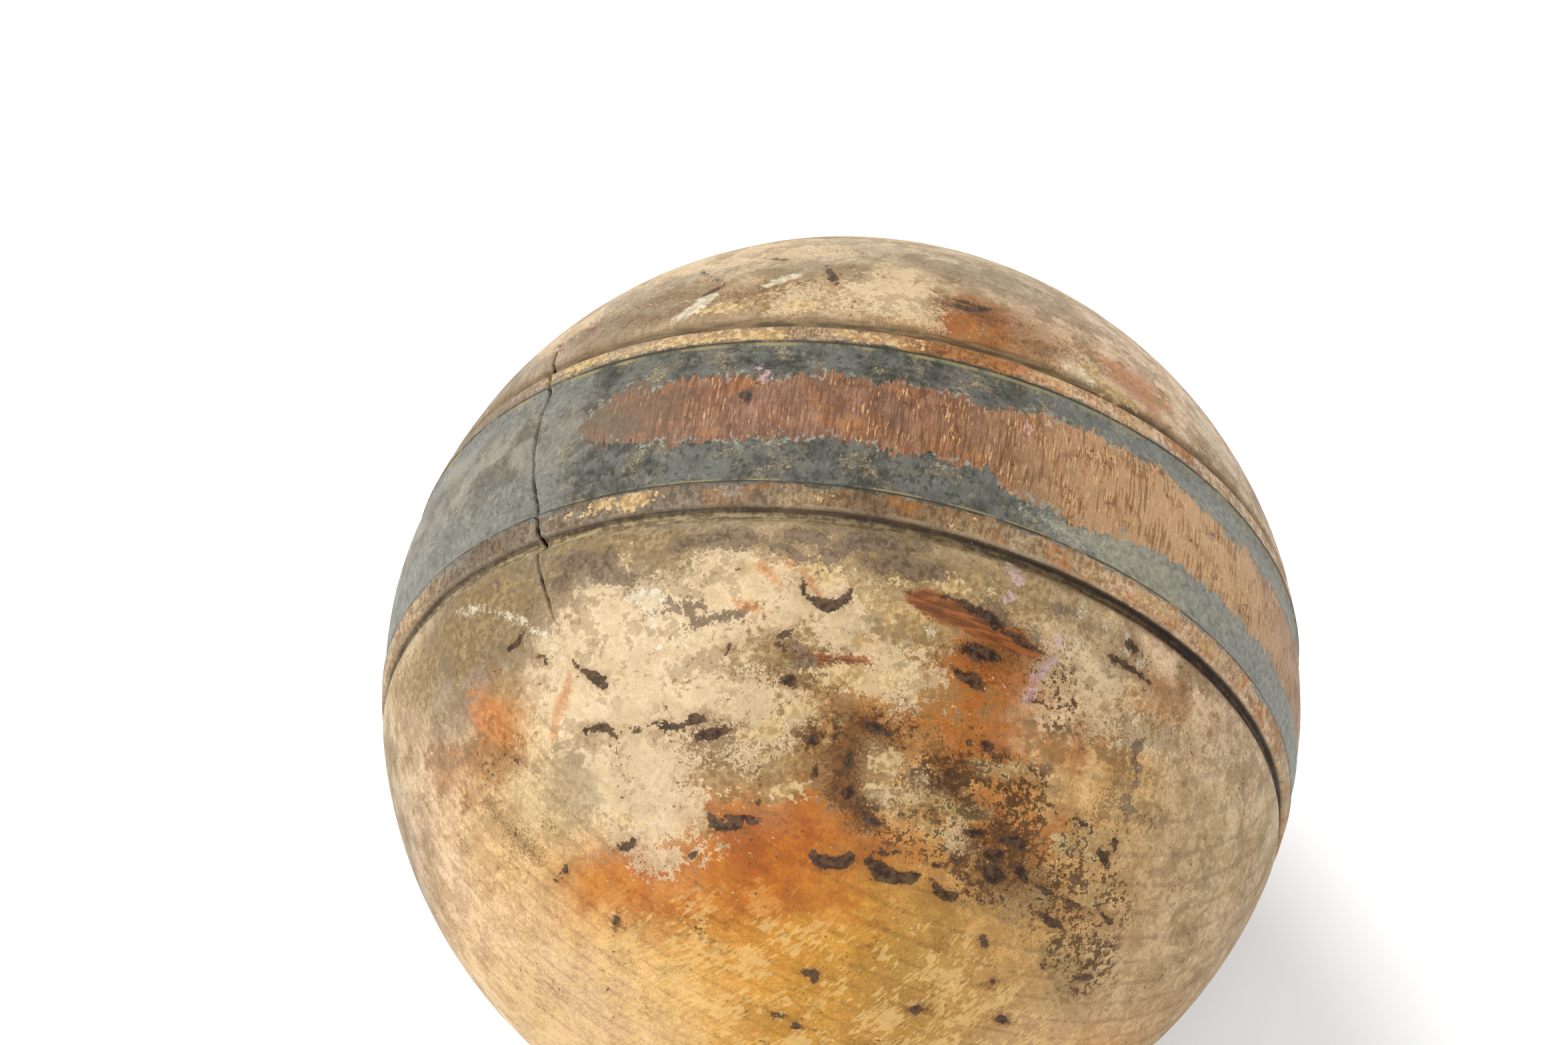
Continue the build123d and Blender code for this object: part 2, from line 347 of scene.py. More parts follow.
# Rubs and scratches, as a half width in millimetres and a path of (longitude, latitude).
STROKES = {
    "black": (
        (0.42, ((-15, -47), (-14, -48.5), (-12, -49), (-9.5, -49))),
        (0.4, ((-13, -47.5), (-10, -48), (-7, -48), (-5, -48))), (0.2, ((-7, -45.5), (-5, -46))),
        (0.62, ((2.5, -50.5), (5, -51.5), (8, -51.5), (10.5, -50.5))),
        (0.66, ((12.5, -50.5), (15.5, -51.5), (19, -51.5), (22.5, -50.5))),
        (0.56, ((24, -50.5), (26, -51.5), (29, -51.5), (31, -51))),
        (0.24, ((32, -50.5), (34.5, -50.5), (37.5, -50))),
        (0.35, ((39, -53.5), (40, -54.5), (41.5, -55.5))),
        (0.4, ((-2.5, -21), (-2, -23), (0, -24), (1.5, -24), (3, -23), (3.5, -21.5))),
        (0.3, ((-33, -28.5), (-31, -30.5), (-28, -32.5))),
        (0.22, ((-31.5, -30), (-29, -31), (-27.5, -31.5))),
        (0.26, ((-43.5, -25), (-41.5, -24.5), (-39.5, -23.5))),
        (0.24, ((-42, -28), (-41.5, -29.5), (-39.5, -30), (-37.5, -30))),
        (0.2, ((-39, -26.5), (-37.5, -27), (-36.5, -28))),
        (0.3, ((13.5, -20.5), (17, -21), (20, -21.5), (24, -22.5), (28, -23))),
        (0.16, ((40, -36.5), (42.5, -37))), (0.16, ((49.5, -37), (51.5, -38))),
        (0.14, ((-48.5, -35.5), (-46.5, -36.5), (-45.5, -37.5))),
        (0.3, ((-25.5, 29.5), (-22, 26), (-19.5, 24))), (0.26, ((-19, 24), (-20, 22.5), (-21.5, 21))),
        (0.24, ((-15, 31), (-13, 29.5))), (0.24, ((10, 22.5), (13, 23.5), (16, 23))),
        (0.26, ((-7, 28), (-5.5, 25), (-4.5, 22))),
    ),
    "umber": (
        (0.7, ((16, -37.5), (19, -38.5), (21.5, -41), (20.5, -43.5))),
        (0.5, ((-4, -29.5), (-1, -30.5), (3, -30.5), (7, -30))),
        (0.6, ((20, -21.5), (24, -22.5), (28, -23.5))),
        (0.4, ((40, -24), (43, -28), (44.5, -32), (45, -36))),
        (0.35, ((-56, -40), (-52, -44), (-50, -48))),
    ),
    "burn": (
        (1.5, ((9.5, -34.5), (6.5, -37), (5.5, -40), (6.5, -43), (10.5, -46), (14, -47))),
        (0.9, ((17, -37.5), (20, -38.5), (22, -40.5), (21, -43.5))),
        (1, ((8, 21), (11, 21.5), (14, 21), (17, 20))),
        (0.8, ((29, -40.5), (31.5, -42.5), (32.5, -45), (31, -47.5))),
        (0.7, ((17.5, -25.5), (21, -25.5), (24.5, -25))), (1.3, ((39, -65), (40, -66))),
        (1.2, ((60, -60), (61, -61))), (0.9, ((48, -58), (49, -58.5))), (1.1, ((-40, -58), (-39, -58.5))),
    ),
    "russet": (
        (0.4, ((-33.5, -30), (-34.5, -32), (-37, -34), (-38.5, -37))),
        (0.22, ((-46, -30.5), (-43, -32.5), (-41, -32.5), (-39.5, -30.5))),
        (0.4, ((-53, -28.5), (-50, -31.5), (-47.5, -35))),
        (0.26, ((-50.5, -27), (-48, -30.5), (-46, -33.5))),
        (0.3, ((-8.5, -19.5), (-6, -21.5), (-3.5, -23))), (0.26, ((-5.5, -19), (-2, -21), (0.5, -24))),
        (0.24, ((-10, -24.5), (-6.5, -25.5), (-3.5, -27.5))),
    ),
    "hair": (
        (0.14, ((-50, -36), (-46, -39), (-43, -43))), (0.12, ((-58, -46), (-54, -49), (-51, -51))),
        (0.12, ((-30, -28), (-24, -31), (-19, -33))), (0.12, ((-20, -32), (-15, -33.5), (-11, -34))),
        (0.12, ((34, -27), (37, -31), (38, -35))), (0.12, ((52, -24), (54, -30), (53, -36))),
        (0.14, ((-8, -24), (-2, -25.5), (4, -27.5))), (0.12, ((14, -56), (22, -58), (30, -58))),
        (0.12, ((-30, -60), (-20, -62), (-8, -62.5))), (0.12, ((-66, -34), (-62, -38), (-60, -43))),
    ),
    "chalk": (
        (0.22, ((-52, -17), (-46, -19), (-41, -21.5), (-36.5, -25), (-33.5, -28.5))),
        (0.5, ((-24.5, -23), (-21.5, -23), (-19, -23.5))), (0.25, ((-22.5, -24.5), (-19.5, -24.5))),
        (0.3, ((-21.5, -25.5), (-20.5, -26.5))), (0.2, ((-21, -29), (-18.5, -28.5), (-16, -28.5))),
        (0.7, ((-24.5, 15.5), (-22, 18.5), (-20, 21.5))), (0.5, ((-14.5, 21.5), (-12, 23.5), (-9.5, 25))),
        (0.4, ((34.5, 34), (36, 32), (39.5, 30.5))), (0.9, ((48, 24), (51, 20), (56, 17))),
        (0.5, ((24.5, 16.5), (27, 16), (29, 15))), (0.25, ((13, -24.5), (14, -25))),
        (0.2, ((31, -15.5), (31, -17.5))), (0.2, ((34, -16), (34.5, -18.5))),
        (0.2, ((38, -16.5), (38.5, -19))), (0.2, ((41, -18), (41, -20.5))),
    ),
    "lilac": (
        (0.5, ((29.5, -23), (28.5, -24.5), (27.5, -26.5), (27.5, -29))),
        (0.5, ((29.5, -20.5), (29, -22))), (0.42, ((21, -15), (22.5, -16), (23, -17))),
        (0.35, ((22, -17.5), (22, -19.5))), (0.3, ((-11.5, 7), (-10.5, 5.5), (-9.5, 3))),
        (0.28, ((20, 4), (20.5, 3), (21, 1.5))), (0.2, ((23, 5.5), (23.5, 4.5))),
    ),
    "torn": ((1.15, GOUGE), (0.6, ((-1, -30), (3, -29.5), (7.5, -29.5)))),
}

# Where the paint ends, as (longitude, latitude where the +Y stripe ends, the same for the -Y stripe).
# Latitudes past each other, such as (-4, 4), mean that the crown between the stripes still has its paint.
PAINT_ENDS = (
    (-38, -4, 4), (-34, -1, 1), (-31, 3.6, -2.2), (-26, 5.4, -3.6), (-20, 5.2, -4.2), (-15, 5, -4.8),
    (-10, 4.6, -4.9), (-5, 5, -4.6), (0, 5, -4.2), (3, 4.6, -4.6), (5.5, 5.8, -5), (8, 4.9, -4.7),
    (12, 5.4, -5.3), (14, 4.8, -3.9), (17, 4.7, -4.4), (19.5, 5.3, -6), (22, 6.4, -6.2), (25, 6.6, -6.4),
    (28, 6.7, -7.4), (32, 6.7, -6), (36, 6.8, -5.8), (38.5, 7.4, -5.4), (42, 6, -4.9), (46, 5.4, -5),
    (60, 5.2, -5), (85, 6, -4.6), (110, 4.6, -5.6), (140, 4.6, -4.4), (148, 2, -3), (153, -3, 3),
    (172, -4, 4), (177, 2, -2), (185, 5, -4.6), (210, 4.6, -5.4), (240, 5.6, -4.6), (258, 4, -3),
    (264, -2, 3), (322, -4, 4),
)

# Strengths that change round the band, as (longitude, strength).
PALE_FIBRES = ((-30, 0.05), (0, 0.3), (12, 0.5), (28, 0.75), (50, 0.95), (90, 0.6), (180, 0.4), (300, 0.2))
# The next strengths are a painted sheen on the paint, strongest where the band turns away to the ball's left
# and right edges as the camera sees them.
SHEEN_ON_PAINT = (
    (-38, 0.3), (-30, 0), (15, 0), (32, 0.4), (50, 0.8),
    (75, 0.8), (180, 0.2), (290, 0.5), (322, 0.3),
)
SILTED = ((-38, 0), (-20, 0.15), (10, 0.6), (50, 1), (90, 0.8), (180, 0.4), (322, 0))

# Long stains across the paint, and one faded streak along its edge, as ovals.
SMEARS = ((-50, 1, 14, 3.6), (-28, 1, 6, 3), (290, 0, 16, 3.4))
FADED = (37, -7.6, 9.5, 1.5)

# ---------------------------------------------------------------- what is where on the surface


TO_CAMERA = (0.08, -0.6, 0.8)


def elsewhere(seed, count, wide, high):
    """Places for marks on the sides that face away from the camera, by a fixed seed."""
    random = np.random.default_rng(seed)
    for _ in range(count):
        longitude, latitude = random.uniform(-180, 180), np.degrees(np.arcsin(random.uniform(-1, 1)))
        half_width, half_height = random.uniform(*wide), random.uniform(*high)
        turn = random.normal(0, 22)
        faces_front = on_ball(longitude, latitude) @ np.array(TO_CAMERA) > 0.1
        if not faces_front and abs(latitude) > 15:
            yield longitude, latitude, half_width, half_height, turn


def shapes(name, seed, count, wide, high):
    """The ovals of one kind of mark: those listed and those elsewhere."""
    placed = STAINS.get(name, ()) + PATCHES.get(name, ())
    return [*placed, *elsewhere(seed, count, wide, high)]


def turned_depth(y):
    """The depth of the turning below the outline at a distance along the axis."""
    places, depths = zip(*TURNING)
    return np.interp(np.abs(y), places, depths)


def crack_at(y):
    """The crack's longitude and half width at a distance along the axis."""
    places, longitudes, widths = zip(*CRACK)
    return np.interp(y, places, longitudes), np.interp(y, places, widths, left=0, right=0)


def in_crack(longitude, y, points):
    """How far inside the crack each point is, as a share of its half width, with ragged sides."""
    middle, half_width = crack_at(y)
    away = (longitude - middle + 180) % 360 - 180
    away = np.radians(away) * RADIUS * np.sqrt(1 - np.minimum((y / HALF) ** 2, 1))
    away = away + 0.09 * lumps(points, 0.9, 5)
    half_width = half_width * (1 + 0.35 * lumps(points, 1.3, 6))
    return np.where(half_width > 0.01, 1 - np.abs(away) / np.maximum(half_width, 0.01), -9)


def gouge_inside(points):
    """How far inside the big gouge each point is."""
    return stroke(wander(points, 0.35, 1.5, 40), GOUGE, 1.25)


def depth(longitude, y, points):
    """How far the wood's surface lies below the outline."""
    total = turned_depth(y) + 0.004 * lumps(points * (1, 4, 1), 0.8, 3)
    total = total + 0.1 * smooth(lumps(points, 14, 7, 2), 0.0, 0.9)
    total = total + 0.03 * smooth(lumps(points, 2.6, 8, 2), 0, 0.8)
    dents_behind = [(*place, 0.25) for place in elsewhere(70, 34, (2, 5), (1.5, 3.5))]
    for *shape, deep in (*DENTS, *dents_behind):
        inside = oval(points, *shape) / min(shape[2:4])
        total = total + deep * smooth(inside, 0, 1.1)
    gouge = gouge_inside(points)
    rough = 0.12 * lumps(points, 0.9, 9, 2)
    total = total + smooth(gouge, -0.05, 0.7) * (0.42 + rough)
    crack = in_crack(longitude, y, points)
    total = total + CRACK_DEPTH * np.clip(crack, 0, 1) ** 0.7
    return total + 0.12 * smooth(crack, -1.6, 0.0)


def ground_colour(points):
    """The wood's overall colour at each point, in linear light."""
    place = wander(points, 2.2, 6, 15)
    total = np.full((len(points), 3), 1e-6) * tint(190, 152, 108)[:3]
    weights = np.full((len(points), 1), 1e-6)
    for tone, places in (*GROUND.items(), *GROUND_BEHIND.items()):
        for longitude, latitude, reach in places:
            away = np.linalg.norm(place - RADIUS * on_ball(longitude, latitude), axis=-1, keepdims=True)
            weight = np.exp(-((away / reach) ** 2)) + 1e-4 / (1 + away**2)
            total = total + weight * tint(*TONES[tone])[:3]
            weights = weights + weight
    return total / weights


def fields(longitude, latitude):
    """What the materials read at each point: millimetres inside each kind of mark, and a few strengths."""
    points = RADIUS * on_ball(longitude, latitude)
    y = HALF * np.sin(np.radians(latitude))
    strayed = wander(wander(points, 1.5, 5, 20), 0.5, 1.6, 24)
    near = wander(wander(points, 0.35, 1.6, 28), 0.18, 0.8, 32)
    found = {}
    counts = {"cream": 16, "orange": 12, "rust": 14, "ochre": 14, "smoke": 12, "umber": 22, "speckle": 14}
    for seed, (name, count) in enumerate(counts.items()):
        ovals = shapes(name, 100 + seed, count, (4, 11), (2.5, 6))
        found[name] = nearest(*(oval(strayed, *place) for place in ovals))
    for seed, (name, count) in enumerate({"taupe": 60, "black": 90, "flake": 90}.items()):
        ovals = shapes(name, 200 + seed, count, (0.5, 2.6), (0.25, 0.9))
        found[name] = nearest(*(oval(near, *place) for place in ovals))
    for name, paths in STROKES.items():
        lines = [stroke(near, path, half_width) for half_width, path in paths]
        if name in found:
            lines.append(found[name])
        found[name] = nearest(*lines)
    around, plus, minus = zip(*PAINT_ENDS)
    degrees = (longitude - around[0]) % 360 + around[0]
    plus_end, minus_end = np.interp(degrees, around, plus), np.interp(degrees, around, minus)
    ragged = 0.5 * lumps(points * (1, 0.7, 1), 1.1, 50) + 0.3 * lumps(points, 0.55, 51)
    kept = np.radians(np.maximum(latitude - plus_end, minus_end - latitude)) * RADIUS + ragged
    margin = BAND_EDGE + 0.25 + 0.22 * lumps(points, 1.0, 52, 2) - np.abs(y)
    found["paint"] = np.minimum(kept, margin)
    front = smooth(degrees, -34, -10) * (1 - smooth(degrees, 140, 170))
    found["soot"] = 1 - front * (1 - 0.35 * smooth(lumps(points, 6, 53, 2), 0, 0.7))
    found["fade"] = oval(strayed, *FADED) / FADED[3]
    found["smear"] = nearest(*(oval(strayed, *smear) for smear in SMEARS))
    # Of these strengths, the one for the paint is a painted sheen, not a real change in the paint.
    for name, strengths in {"dash": PALE_FIBRES, "paint_sheen": SHEEN_ON_PAINT, "silt": SILTED}.items():
        found[name] = np.interp(degrees, *zip(*strengths))
    found["hollow"] = np.clip(in_crack(longitude, y, points) + 0.3, 0, 1)
    return {name: np.clip(values, -4, 4) for name, values in found.items()}


# ---------------------------------------------------------------- meshes

FINE_REACH = 4  # degrees to each side of the crack
FINE_STEP = 0.11  # degrees
COARSE_STEPS = 560
RING_GAP = 0.3
GROOVE_RING_GAP = 0.13
CAP_RINGS = 126
PAINT_RING_GAP = 0.2


def columns():
    """Longitudes for the mesh's columns, closest together at the crack."""
    fine = np.arange(CRACK_HOME - FINE_REACH, CRACK_HOME + FINE_REACH, FINE_STEP)
    coarse = np.linspace(CRACK_HOME + FINE_REACH, CRACK_HOME + 360 - FINE_REACH, COARSE_STEPS + 1)[:-1]
    return np.concatenate([fine, coarse])


def bent(longitudes, y):
    """Column longitudes at a distance along the axis, bent so that the columns by the crack follow it."""
    away = (longitudes - CRACK_HOME + 180) % 360 - 180
    share = 1 - smooth(np.abs(away), 5, 40)
    middle, _ = crack_at(np.clip(y, CRACK[0][0], CRACK[-1][0]))
    return longitudes + (middle - CRACK_HOME) * share * (1 - smooth(np.abs(y), 24, 34))


def surface_mesh(name, ys, lift, keep=None, poles=False):
    """A ring-by-ring mesh. lift(longitude, y, points, values) gives each point's height over the outline."""
    longitudes = np.stack([bent(columns(), y) for y in ys])
    y = np.repeat(np.asarray(ys)[:, None], longitudes.shape[1], axis=1)
    count_rows, count_columns = y.shape
    longitude, y = longitudes.ravel(), y.ravel()
    if poles:
        longitude, y = np.append(longitude, [0, 0]), np.append(y, [-HALF, HALF])
    latitude = np.degrees(np.arcsin(np.clip(y / HALF, -1, 1)))
    unit = on_ball(longitude, latitude)
    values = fields(longitude, latitude)
    height = lift(longitude, y, RADIUS * unit, values)
    outline = unit * (GIRTH / 2, HALF, GIRTH / 2)
    places = (outline + unit * height[:, None]) * MM
    index = np.arange(count_rows * count_columns).reshape(count_rows, count_columns)
    after = np.roll(index, -1, axis=1)
    faces = np.stack([index[:-1], after[:-1], after[1:], index[1:]], -1).reshape(-1, 4)
    if keep is not None:
        faces = faces[keep(values)[faces].any(axis=1)]
    faces = [list(map(int, face)) for face in faces]
    if poles:
        south, north = len(places) - 2, len(places) - 1
        faces += [[int(a), int(south), int(b)] for a, b in zip(index[0], after[0])]
        faces += [[int(b), int(north), int(a)] for a, b in zip(index[-1], after[-1])]
    mesh = bpy.data.meshes.new(name)
    mesh.from_pydata(places.tolist(), [], faces)
    for field, numbers in values.items():
        attribute = mesh.attributes.new(field, "FLOAT", "POINT")
        attribute.data.foreach_set("value", numbers.astype(np.float32))
    colour = mesh.attributes.new("ground", "FLOAT_COLOR", "POINT")
    shown = np.concatenate([ground_colour(RADIUS * unit), np.ones((len(unit), 1))], axis=1)
    colour.data.foreach_set("color", shown.astype(np.float32).ravel())
    mesh.shade_smooth()
    piece = bpy.data.objects.new(name, mesh)
    bpy.context.scene.collection.objects.link(piece)
    return piece


def wood_height(longitude, y, points, values):
    """The wood's own surface, below the outline."""
    return -depth(longitude, y, points)


def paint_height(longitude, y, points, values):
    """The paint stands over the wood where there is any, and its edges dip just under the wood."""
    film = PAINT * np.clip(values["paint"] / 0.16, -0.6, 1) - 0.5 * values["hollow"]
    return np.minimum(film - depth(longitude, y, points), -0.005)


def turned_ball():
    """The wood, in rings along the axis that are closest together at the grooves."""
    band = np.arange(0, 9.8, RING_GAP)
    groove = np.arange(9.8, 12.5, GROOVE_RING_GAP)
    cap = HALF * np.sin(np.radians(np.linspace(15.9, 89.4, CAP_RINGS)))
    half = np.concatenate([band, groove, cap])
    ys = np.concatenate([-half[:0:-1], half])
    return surface_mesh("turned_ball", ys, wood_height, poles=True)


def band_paint():
    """The film of paint, in the parts of the band that still have it."""
    ys = np.arange(-8.7, 8.71, PAINT_RING_GAP)
    return surface_mesh("band_paint", ys, paint_height, keep=lambda values: values["paint"] > -0.25)


# ---------------------------------------------------------------- materials

DULL_SPECULAR = 0.18
BUMP = 0.06
PITH = (-31.0, -62.0)  # where the middle of the tree was, in X and Z
RING_WIDTH = 1.9


class Graph:
    """A material's nodes, built up with short calls. Lengths are in millimetres."""

    def __init__(self, name):
        self.material = bpy.data.materials.new(name)
        self.material.use_nodes = True
        self.tree = self.material.node_tree
        self.shader = self.tree.nodes["Principled BSDF"]
        self.shader.inputs["Specular IOR Level"].default_value = DULL_SPECULAR
        self.place = self.add("ShaderNodeTexCoord").outputs["Object"]
        self.grain = self.noise(0.2, 2, 4)
        self.fine = self.noise(0.6, 4, 1)
        self.broad = self.noise(3.6, 7, 2, rough=0.66)

    def add(self, kind, inputs=None, **settings):
        made = self.tree.nodes.new(kind)
        for name, value in settings.items():
            setattr(made, name, value)
        for name, value in (inputs or {}).items():
            socket = made.inputs[name]
            if isinstance(value, bpy.types.NodeSocket):
                self.tree.links.new(value, socket)
            else:
                socket.default_value = value
        return made

    def math(self, operation, *values):
        return self.add("ShaderNodeMath", dict(enumerate(values)), operation=operation).outputs[0]

    def field(self, name):
        return self.add("ShaderNodeAttribute", attribute_name=name).outputs["Fac"]

    def noise(self, size, detail, seed, stretch=(1, 1, 1), rough=0.55, turn=0.0):
        """Three independent noises, in lumps that stretch makes longer along each axis, turned about Y."""
        scale = tuple(1 / part for part in stretch)
        shift = (0.013 * seed, 0.007 * seed, 0.019 * seed)
        turned = self.place
        if turn:
            around = {"Vector": turned, "Rotation": (0.0, np.radians(turn), 0.0)}
            turned = self.add("ShaderNodeMapping", around).outputs[0]
        moved = self.add("ShaderNodeMapping", {"Vector": turned, "Scale": scale, "Location": shift})
        inputs = {"Scale": 1 / (size * MM), "Detail": float(detail), "Roughness": rough}
        texture = self.add("ShaderNodeTexNoise", {"Vector": moved.outputs[0], **inputs})
        return self.add("ShaderNodeSeparateColor", {"Color": texture.outputs["Color"]}).outputs

    def rise(self, value, low, high):
        """0 below low, 1 above high and a smooth rise between. It falls instead if low is above high."""
        up = low < high
        limits = {"From Min": low, "From Max": high} if up else {"From Min": high, "From Max": low}
        ends = {"To Min": 0.0, "To Max": 1.0} if up else {"To Min": 1.0, "To Max": 0.0}
        inputs = {"Value": value, **limits, **ends}
        return self.add("ShaderNodeMapRange", inputs, interpolation_type="SMOOTHSTEP").outputs[0]

    def close_to(self, value, middle, far, near):
        """1 where the value is within near of middle, 0 where it is past far, and smooth between."""
        return self.rise(self.math("ABSOLUTE", self.math("SUBTRACT", value, middle)), far, near)

    def push(self, value, noise, reach):
        """The value moved up and down by noise, by up to about half of reach."""
        return self.math("ADD", value, self.math("MULTIPLY_ADD", noise, 3 * reach, -1.5 * reach))

    def inside(self, value, ragged, soft, which=0, fine=None, grain=0.0):
        """The mask of a mark, from the millimetres inside it, with a ragged edge."""
        value = self.push(value, self.broad[which], ragged)
        value = self.push(value, self.fine[which], ragged * 0.6 if fine is None else fine)
        if grain:
            value = self.push(value, self.grain[which], grain)
        return self.rise(value, -soft, soft)

    def product(self, first, second):
        return self.math("MULTIPLY", first, second)

    def mix(self, factor, below, above):
        """A mix of two colours: the first where factor is 0 and the second where it is 1."""
        made = self.add("ShaderNodeMix", {0: factor, 6: below, 7: above}, data_type="RGBA")
        return made.outputs[2]

    def lay(self, mask, strength, below, above):
        """A mix that goes no further than strength, even where the mask is full."""
        return self.mix(self.product(mask, strength), below, above)

    def times(self, colour, other):
        return self.add("ShaderNodeVectorMath", {0: colour, 1: other}, operation="MULTIPLY").outputs[0]

    def scale(self, colour, factor):
        made = self.add("ShaderNodeVectorMath", {0: colour, "Scale": factor}, operation="SCALE")
        return made.outputs[0]

    def blend(self, factor, below, above):
        """A mix of two plain numbers."""
        made = self.add("ShaderNodeMix", {0: factor, 2: below, 3: above}, data_type="FLOAT")
        return made.outputs[0]

    def finish(self, colour, roughness, height):
        bumped = self.add("ShaderNodeBump", {"Strength": 1.0, "Distance": BUMP * MM, "Height": height})
        for name, value in (("Base Color", colour), ("Roughness", roughness), ("Normal", bumped.outputs[0])):
            self.tree.links.new(value, self.shader.inputs[name])
        return self.material


def bare_wood(g):
    """Dry wood with its grain along Y: fibres on the sides, growth rings and pores on the caps."""
    fibre = g.noise(0.16, 3, 3, stretch=(1, 14, 1))
    x, y, z = (g.add("ShaderNodeSeparateXYZ", {0: g.place}).outputs[i] for i in range(3))
    from_pith = (g.math("SUBTRACT", x, PITH[0] * MM), g.math("SUBTRACT", z, PITH[1] * MM))
    squares = [g.product(part, part) for part in from_pith]
    away = g.math("SQRT", g.math("ADD", *squares))
    wavy = g.math("MULTIPLY_ADD", g.broad[2], 1.6, g.product(away, 2 * np.pi / (RING_WIDTH * MM)))
    ring = g.product(g.rise(g.math("SINE", wavy), 0.7, 1.0), -0.16)
    ground = g.add("ShaderNodeAttribute", attribute_name="ground").outputs["Color"]
    worn = g.push(g.push(g.push(0.5, g.broad[0], 1.2), g.fine[1], 0.7), g.grain[1], 0.5)
    flat = g.rise(g.math("ABSOLUTE", y), 34 * MM, 40 * MM)
    worn = g.blend(g.product(flat, 0.6), worn, 0.55)
    ground = g.times(ground, g.mix(g.rise(worn, 0.1, 0.9), (0.8, 0.76, 0.69, 1), (1.15, 1.17, 1.18, 1)))
    light = g.push(g.math("ADD", ring, 1.02), g.grain[0], 0.26)
    light = g.push(light, g.fine[0], 0.18)
    light = g.math("SUBTRACT", light, g.product(g.rise(fibre[0], 0.5, 0.68), 0.12))
    wood = g.scale(ground, light)
    fleck = g.noise(0.3, 4, 9, stretch=(5, 2, 1), turn=44)
    on_cap = g.rise(g.push(g.math("ABSOLUTE", y), g.broad[1], 5 * MM), 36.5 * MM, 39 * MM)
    flecks = g.product(g.rise(g.push(fleck[0], g.broad[2], 0.4), 0.54, 0.58), on_cap)
    wood = g.lay(flecks, 0.5, wood, tint(226, 190, 124))
    return wood, fibre, y


def ball_surface(g):
    """The colour and roughness of the wood's surface, one stain over the other."""
    colour, fibre, y = bare_wood(g)
    rough = g.blend(g.rise(g.broad[1], 0.35, 0.65), 0.46, 0.66)
    lathe = g.noise(0.3, 3, 5, stretch=(9, 1, 9))
    colour = g.scale(colour, g.push(1.0, lathe[0], 0.08))

    def stain(name, dark, light, ragged, soft, strength, which, finish, pattern, grain=0.0):
        nonlocal colour, rough
        mask = g.inside(g.field(name), ragged, soft, which, grain=grain)
        mask = g.product(mask, strength)
        inner = g.mix(g.rise(pattern, 0.4, 0.6), tint(*dark), tint(*light))
        inner = g.scale(inner, g.push(1.0, g.grain[which], 0.16))
        colour = g.mix(mask, colour, inner)
        rough = g.blend(mask, rough, finish)

    stain("orange", (156, 78, 8), (192, 114, 26), 3.0, 1.1, 0.6, 1, 0.55, g.broad[2], 0.8)
    stain("rust", (118, 70, 34), (172, 108, 54), 3.0, 0.7, 0.52, 2, 0.55, g.fine[0], 1.0)
    stain("ochre", (122, 98, 62), (162, 136, 92), 3.6, 0.2, 0.7, 0, 0.66, g.fine[1], 1.2)
    stain("cream", (200, 175, 138), (224, 200, 164), 3.8, 0.2, 0.74, 1, 0.72, g.broad[2], 1.4)
    stain("smoke", (104, 90, 70), (146, 128, 102), 3.0, 1.1, 0.5, 2, 0.6, g.fine[2], 0.8)
    stain("umber", (62, 40, 20), (122, 78, 34), 2.4, 0.25, 0.6, 0, 0.6, g.fine[1], 3.2)
    stain("burn", (66, 42, 26), (116, 74, 38), 0.9, 0.8, 0.8, 2, 0.6, g.fine[0], 1.2)

    olive = g.push(g.product(g.math("ADD", g.broad[2], -0.54), 20.0), g.fine[2], 1.4)
    olive = g.product(g.rise(g.push(olive, g.grain[1], 0.8), -0.1, 0.3), g.rise(y, -33 * MM, -28 * MM))
    colour = g.lay(olive, 0.5, colour, tint(130, 108, 74))
    dirt = g.product(g.rise(g.broad[1], 0.5, 0.6), g.rise(g.fine[1], 0.46, 0.56))
    colour = g.lay(dirt, 0.32, colour, tint(108, 78, 42))
    pepper = g.noise(0.34, 1, 7)
    specks = g.rise(g.push(pepper[0], g.broad[1], 0.3), 0.74, 0.79)
    colour = g.lay(specks, 0.75, colour, tint(74, 56, 38))
    crumbs = g.rise(g.push(pepper[1], g.broad[0], 0.3), 0.76, 0.81)
    colour = g.lay(crumbs, 0.5, colour, tint(228, 204, 160))
    return colour, rough, fibre, lathe, y


